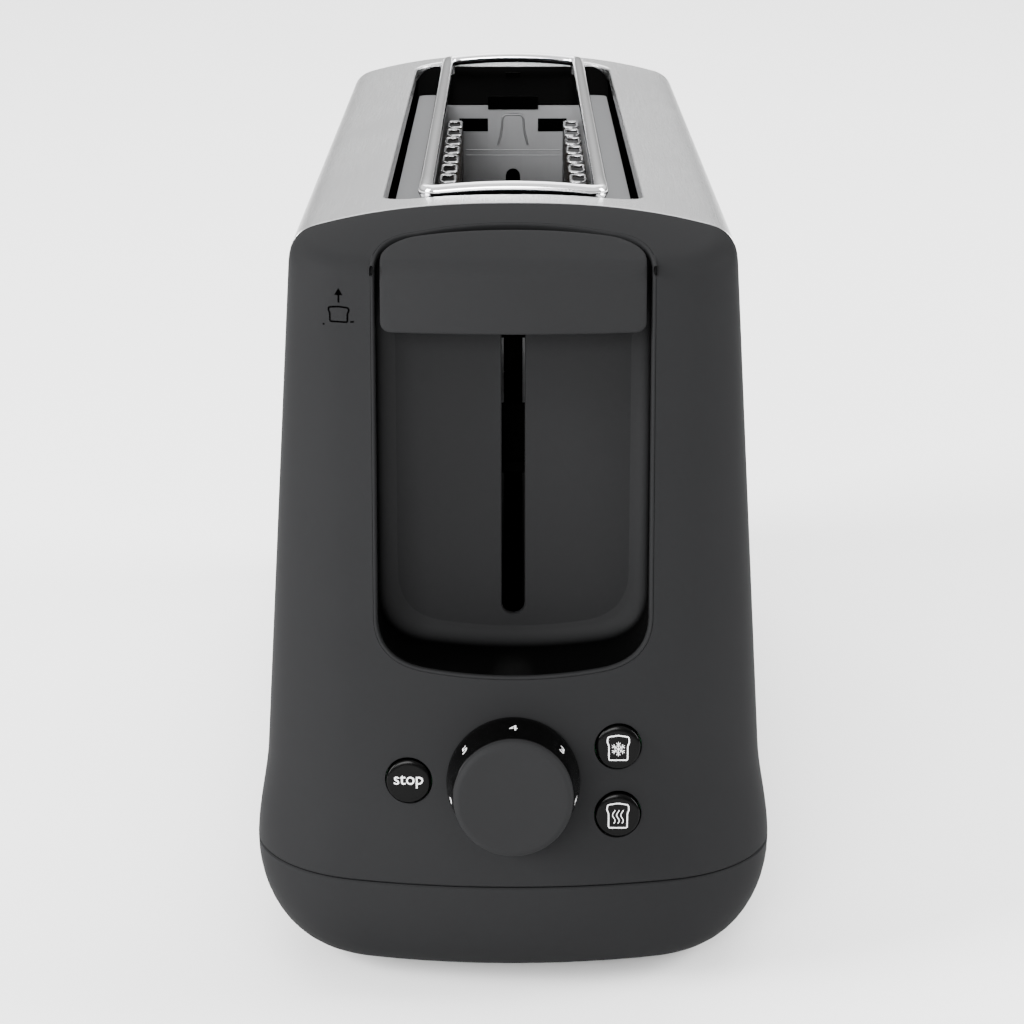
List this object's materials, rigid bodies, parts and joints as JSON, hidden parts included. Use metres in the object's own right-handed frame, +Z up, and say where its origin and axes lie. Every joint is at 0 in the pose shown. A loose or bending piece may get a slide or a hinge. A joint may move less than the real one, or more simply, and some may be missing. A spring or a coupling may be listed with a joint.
{
  "type": "pop up toaster",
  "caption": "Long-slot pop-up toaster: steel sleeve between black end caps, side lever in a recess, browning knob, buttons, lifting bread rack, warming rack and crumb tray.",
  "frame": {"origin": "centre of the overall length and width, at table height under the feet", "axes": "+Z up; the slot runs along Y; the control end with lever and knob faces -Y"},
  "size_m": [0.1424, 0.4161, 0.2119],
  "materials": {
    "brushed_sleeve": "brushed along its length, satin",
    "black_case": "fine matte texture, charcoal",
    "grey_panel": "fine matte texture, charcoal",
    "gloss_black": "polished black",
    "chrome_wire": "bright plated wire",
    "blackened_steel": "blackened sheet steel",
    "plated_sheet": "plain mill-finish plated sheet",
    "plated_parts": "zinc plated",
    "heat_plastic": "black heat-resistant moulding, slightly glossy",
    "rubber": "black rubber",
    "mica": "mica board, dull brown",
    "copper_coil": "enamelled copper winding",
    "circuit_board": "green lacquered board",
    "white_plastic": "off-white heat-resistant plastic",
    "switch_black": "black moulded switch body"
  },
  "bodies": {
    "casing": {"steel_sleeve": "brushed_sleeve", "front_cap": "black_case", "rear_cap": "black_case", "recess_liner": "gloss_black", "lever_panel": "grey_panel", "guide_rod_left": "chrome_wire", "guide_rod_right": "chrome_wire", "rod_holder": "heat_plastic", "carriage_spring": "plated_parts", "magnet_core": "plated_parts", "magnet_coil": "copper_coil", "front_end_plate": "plated_sheet", "rear_end_plate": "plated_sheet", "left_reflector": "plated_sheet", "right_reflector": "plated_sheet", "left_heater": "mica", "right_heater": "mica", "front_slot_guide": "heat_plastic", "rear_slot_guide": "heat_plastic", "base_housing": "black_case", "foot_front_left": "rubber", "foot_front_right": "rubber", "foot_rear_left": "rubber", "foot_rear_right": "rubber", "base_screw_front_left": "plated_parts", "base_screw_front_right": "plated_parts", "base_screw_rear_left": "plated_parts", "base_screw_rear_right": "plated_parts", "potentiometer": "plated_parts", "control_board": "circuit_board", "stop_switch": "switch_black", "defrost_switch": "switch_black", "reheat_switch": "switch_black", "cord_gland": "rubber", "terminal_block": "white_plastic", "mains_switch": "white_plastic"},
    "carriage": {"lever_paddle": "grey_panel", "carriage_bracket": "blackened_steel", "bread_lift_rack": "blackened_steel", "armature_plate": "blackened_steel"},
    "left_guard_cage": {"left_guard": "chrome_wire"},
    "right_guard_cage": {"right_guard": "chrome_wire"},
    "browning_knob": {"browning_knob_cap": "grey_panel", "browning_knob_skirt": "gloss_black", "knob_shaft": "plated_parts"},
    "stop_key": {"stop_button": "gloss_black"},
    "defrost_key": {"defrost_button": "gloss_black"},
    "reheat_key": {"reheat_button": "gloss_black"},
    "crumb_drawer": {"crumb_tray": "plated_sheet", "crumb_tray_handle": "black_case"},
    "warming_shelf": {"warming_rack": "chrome_wire"}
  },
  "joints": [
    {"name": "lever_slide", "type": "slide", "parent": "casing", "child": "carriage", "axis": [0, 0, 1], "range_m": [-0.076, 0.01], "stiffness_N_per_m": 40, "springref_m": 0.02, "deforming": ["carriage_spring"]},
    {"name": "left_guard_tilt", "type": "hinge", "parent": "casing", "child": "left_guard_cage", "pos_m": [-0.01835, 0.00768, 0.06], "axis": [0, 1, 0], "range_deg": [-0.65, 4.4]},
    {"name": "right_guard_tilt", "type": "hinge", "parent": "casing", "child": "right_guard_cage", "pos_m": [0.01835, 0.00768, 0.06], "axis": [0, 1, 0], "range_deg": [-4.4, 0.65]},
    {"name": "browning_turn", "type": "hinge", "parent": "casing", "child": "browning_knob", "pos_m": [0, -0.1887, 0.0622], "axis": [0, -0.9958, 0.092], "range_deg": [-100, 150]},
    {"name": "stop_press", "type": "slide", "parent": "casing", "child": "stop_key", "axis": [0, 0.9958, -0.092], "range_m": [0, 0.0015], "stiffness_N_per_m": 600, "springref_m": -0.0005},
    {"name": "defrost_press", "type": "slide", "parent": "casing", "child": "defrost_key", "axis": [0, 0.9958, -0.092], "range_m": [0, 0.0015], "stiffness_N_per_m": 600, "springref_m": -0.0005},
    {"name": "reheat_press", "type": "slide", "parent": "casing", "child": "reheat_key", "axis": [0, 0.9958, -0.092], "range_m": [0, 0.0015], "stiffness_N_per_m": 600, "springref_m": -0.0005},
    {"name": "drawer_slide", "type": "slide", "parent": "casing", "child": "crumb_drawer", "axis": [0, 1, 0], "range_m": [0, 0.25]},
    {"name": "shelf_lift", "type": "slide", "parent": "casing", "child": "warming_shelf", "axis": [0, 0, 1], "range_m": [0, 0.03]}
  ],
  "couplings": [
    {"joint": "right_guard_tilt", "follows": "lever_slide", "rad_per_m": 0.987},
    {"joint": "left_guard_tilt", "follows": "lever_slide", "rad_per_m": -0.987}
  ]
}
